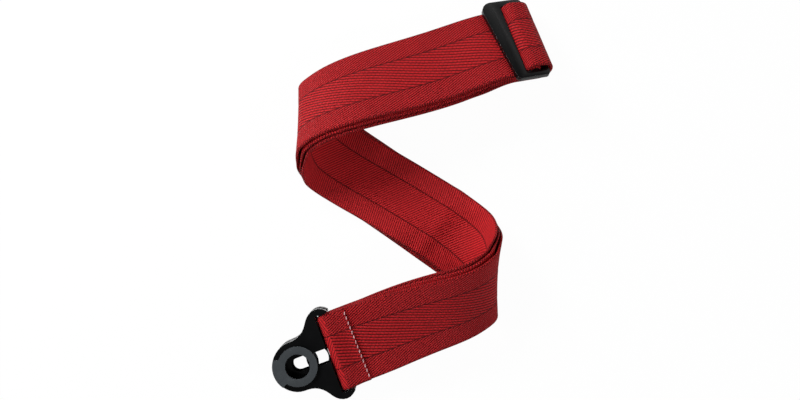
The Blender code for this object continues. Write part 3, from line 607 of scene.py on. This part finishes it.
def stitch_row(name, middle, across, out, lean, half_width):
    """A row of short rounded threads, each dipping into the cloth at its ends."""
    across, out = Vector(across).normalized(), Vector(out).normalized()
    lengthways = across.cross(out)
    mesh = bpy.data.meshes.new(name)
    bm = bmesh.new()
    count = int(2 * half_width / STITCH_PITCH)
    for index in range(count):
        spot = Vector(middle) + across * (STITCH_PITCH * (index - (count - 1) / 2))
        stitch = bmesh.ops.create_uvsphere(bm, u_segments=10, v_segments=7, radius=1.0)["verts"]
        direction = (across + lengthways * lean).normalized()
        side = out.cross(direction)
        turn = Matrix((side, out, direction)).transposed().to_4x4()
        size = Matrix.Diagonal((THREAD_RADIUS, THREAD_RADIUS * 0.9, STITCH_LENGTH / 2, 1.0))
        bmesh.ops.transform(bm, verts=stitch, matrix=Matrix.Translation(spot) @ turn @ size)
    for bm_face in bm.faces:
        bm_face.smooth = True
    bm.to_mesh(mesh)
    bm.free()
    row = bpy.data.objects.new(name, mesh)
    bpy.context.scene.collection.objects.link(row)
    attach(row, "strap")
    return row


thread = bpy.data.materials.new("pale_pink_thread")
thread.use_nodes = True
tree = thread.node_tree
shader = tree.nodes["Principled BSDF"]
coordinates = new_node(tree, "ShaderNodeTexCoord")
plies = new_node(tree, "ShaderNodeTexNoise")
plies.inputs["Scale"].default_value = 1800.0
tree.links.new(coordinates.outputs["Object"], plies.inputs["Vector"])
thread_colour = mix_colours(tree, plies.outputs[0], (0.42, 0.16, 0.18), (0.80, 0.52, 0.53))
tree.links.new(thread_colour, shader.inputs["Base Color"])
shader.inputs["Roughness"].default_value = 0.6
shader.inputs["Sheen Weight"].default_value = 0.2
bump = new_node(tree, "ShaderNodeBump")
bump.inputs["Strength"].default_value = 0.5
bump.inputs["Distance"].default_value = 0.0002
tree.links.new(plies.outputs[0], bump.inputs["Height"])
tree.links.new(bump.outputs[0], shader.inputs["Normal"])

upper_stitches = stitch_row(
    "lock_loop_stitches",
    strip_line[0] - strip_normal[0] * (WOVEN_THICKNESS / 2),
    strip_width[1],
    -strip_normal[1],
    STITCH_LEAN,
    ROW_HALF_WIDTH,
)
upper_stitches.data.materials.append(thread)
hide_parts("lock_a_stitches")

# ---------------------------------------------------------------------------------------------
# Slider: a moulded black nylon frame with three bars, wider at one end. The strap climbs through
# its left slot and goes round its right bar, and the turned-back end holds its middle bar.


def moulded_group():
    """The skin of a moulding: a fine spark-eroded grain, and faint scuffs. Everything runs 0 to 1."""
    group = bpy.data.node_groups.new("moulded_skin", "ShaderNodeTree")
    for name, default in (("Grain Scale", 1500.0), ("Scuff Scale", 60.0)):
        socket = group.interface.new_socket(name, in_out="INPUT", socket_type="NodeSocketFloat")
        socket.default_value = default
    for name in ("Grain", "Scuff"):
        group.interface.new_socket(name, in_out="OUTPUT", socket_type="NodeSocketFloat")
    inputs = group.nodes.new("NodeGroupInput").outputs
    outputs = group.nodes.new("NodeGroupOutput").inputs
    place = group.nodes.new("ShaderNodeTexCoord")
    for scale, detail, out in (("Grain Scale", 2.0, "Grain"), ("Scuff Scale", 6.0, "Scuff")):
        noise = group.nodes.new("ShaderNodeTexNoise")
        noise.inputs["Detail"].default_value = detail
        group.links.new(inputs[scale], noise.inputs["Scale"])
        group.links.new(place.outputs["Object"], noise.inputs["Vector"])
        group.links.new(noise.outputs[0], outputs[out])
    return group


moulded_skin = moulded_group()


def moulding(name, colour, worn_colour, roughness, bump_strength):
    """A moulded nylon finish from one main colour and the colour of its scuffs."""
    material = bpy.data.materials.new(name)
    material.use_nodes = True
    tree = material.node_tree
    shader = tree.nodes["Principled BSDF"]
    shader.inputs["Specular IOR Level"].default_value = 0.38
    skin = new_node(tree, "ShaderNodeGroup", node_tree=moulded_skin)
    skin.inputs["Grain Scale"].default_value = 1500.0
    skin.inputs["Scuff Scale"].default_value = 70.0
    scuffed = maths(tree, "POWER", skin.outputs["Scuff"], 2.5)
    scuff = maths(tree, "MULTIPLY", scuffed, skin.outputs["Grain"])
    tree.links.new(mix_colours(tree, scuff, colour, worn_colour), shader.inputs["Base Color"])
    uneven = maths(tree, "MULTIPLY_ADD", skin.outputs["Scuff"], 0.18, roughness - 0.09)
    tree.links.new(uneven, shader.inputs["Roughness"])
    bump = new_node(tree, "ShaderNodeBump")
    bump.inputs["Strength"].default_value = bump_strength
    bump.inputs["Distance"].default_value = 0.00008
    tree.links.new(skin.outputs["Grain"], bump.inputs["Height"])
    tree.links.new(bump.outputs[0], shader.inputs["Normal"])
    return material


black_nylon = moulding("black_moulded_nylon", (0.0016, 0.0017, 0.0019), (0.010, 0.0105, 0.011), 0.20, 0.12)
grey_nylon = moulding("grey_moulded_nylon", (0.040, 0.045, 0.049), (0.10, 0.11, 0.118), 0.26, 0.2)
# The chamfer finishes are lighter copies of the two nylons, scuffed alike: a painted highlight along the
# moulded edges.
black_chamfer_highlight = moulding("painted_highlight_on_black_chamfers", (0.040, 0.042, 0.044), (0.12, 0.12, 0.125), 0.18, 0.05)
grey_chamfer_highlight = moulding("painted_highlight_on_grey_chamfers", (0.19, 0.20, 0.21), (0.30, 0.31, 0.32), 0.2, 0.05)
chamfer_highlights = {black_nylon.name: black_chamfer_highlight, grey_nylon.name: grey_chamfer_highlight}
CORNER_MERGE = 0.000004
SAME_FACE_ANGLE = 1.5
SHARP_EDGE_ANGLE = 38.0
CHAMFER_STEEPEST = 0.25
CHAMFER_FLATTEST = 0.97


def rounded_copy(node_name, name, body, material, width, up=Vector((0.0, 0.0, 1.0))):
    """A piece in the shape of a CAD node, with its chamfers in a lighter finish, a painted highlight.

    The bevel's overlap guard narrows the rounding to almost nothing, whatever width is asked for.
    """
    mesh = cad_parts[node_name].data.copy()
    mesh.materials.clear()
    bm = bmesh.new()
    bm.from_mesh(mesh)
    bmesh.ops.remove_doubles(bm, verts=bm.verts, dist=CORNER_MERGE)
    same_face = math.radians(SAME_FACE_ANGLE)
    bmesh.ops.dissolve_limit(bm, angle_limit=same_face, verts=bm.verts, edges=bm.edges)
    for bm_face in bm.faces:
        bm_face.smooth = True
        lean = bm_face.normal.dot(up)
        # Faces that lean between the two chamfer limits take the lighter second material, the painted
        # highlight.
        bm_face.material_index = 1 if CHAMFER_STEEPEST < lean < CHAMFER_FLATTEST else 0
    bm.to_mesh(mesh)
    bm.free()
    mesh.materials.append(material)
    mesh.materials.append(chamfer_highlights[material.name])
    piece = bpy.data.objects.new(name, mesh)
    bpy.context.scene.collection.objects.link(piece)
    rounding = piece.modifiers.new("rounding", "BEVEL")
    rounding.width = width
    rounding.segments = 3
    rounding.limit_method = "ANGLE"
    rounding.angle_limit = math.radians(SHARP_EDGE_ANGLE)
    rounding.harden_normals = True
    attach(piece, body)
    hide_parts(node_name)


slider_up = (SLIDER_FRAME.to_3x3() @ Vector((0.0, 0.0, 1.0))).normalized()
rounded_copy("slider", "three_bar_slider", "strap", black_nylon, 0.35 * MM, slider_up)

# ---------------------------------------------------------------------------------------------
# Locks: two alike, one on each end of the doubled strap. A black nylon body carries the strap's
# bar, a plate with a key slot is screwed under it, and a grey dial turns the latch inside.

# Each row: the CAD node, the piece, the body it rides, its slot, its finish, the width asked for.
LOCK_PIECES = [
    ("_base", "_body", "", "black_nylon", black_nylon, 0.4 * MM),
    ("_keyhole_plate", "_key_plate", "", "black_nylon", black_nylon, 0.3 * MM),
    ("_latch", "_latch_ring", "_dial", "black_nylon", black_nylon, 0.25 * MM),
    ("_dial", "_thumb_dial", "_dial", "grey_nylon", grey_nylon, 0.3 * MM),
]
for prefix in ("lock_a", "lock_b"):
    for node_end, name_end, body_end, slot_name, finish, edge in LOCK_PIECES:
        rounded_copy(prefix + node_end, prefix + name_end, prefix + body_end, finish, edge)

# ---------------------------------------------------------------------------------------------
# Springs and screws: a spring of drawn steel wire pulls each latch shut, and zinc-plated screws
# with flat heads hold each key-slot plate to its lock.

steel = bpy.data.materials.new("bright_steel")
steel.use_nodes = True
tree = steel.node_tree
shader = tree.nodes["Principled BSDF"]
shader.inputs["Metallic"].default_value = 1.0
coordinates = new_node(tree, "ShaderNodeTexCoord")
drawing = new_node(tree, "ShaderNodeTexNoise")
drawing.inputs["Scale"].default_value = 900.0
tree.links.new(coordinates.outputs["Object"], drawing.inputs["Vector"])
steel_colour = mix_colours(tree, drawing.outputs[0], (0.42, 0.42, 0.43), (0.68, 0.68, 0.70))
tree.links.new(steel_colour, shader.inputs["Base Color"])
tree.links.new(maths(tree, "MULTIPLY_ADD", drawing.outputs[0], 0.2, 0.22), shader.inputs["Roughness"])
for name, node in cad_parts.items():
    if "screw" in name or "spring" in name:
        node.data.materials.clear()
        node.data.materials.append(steel)
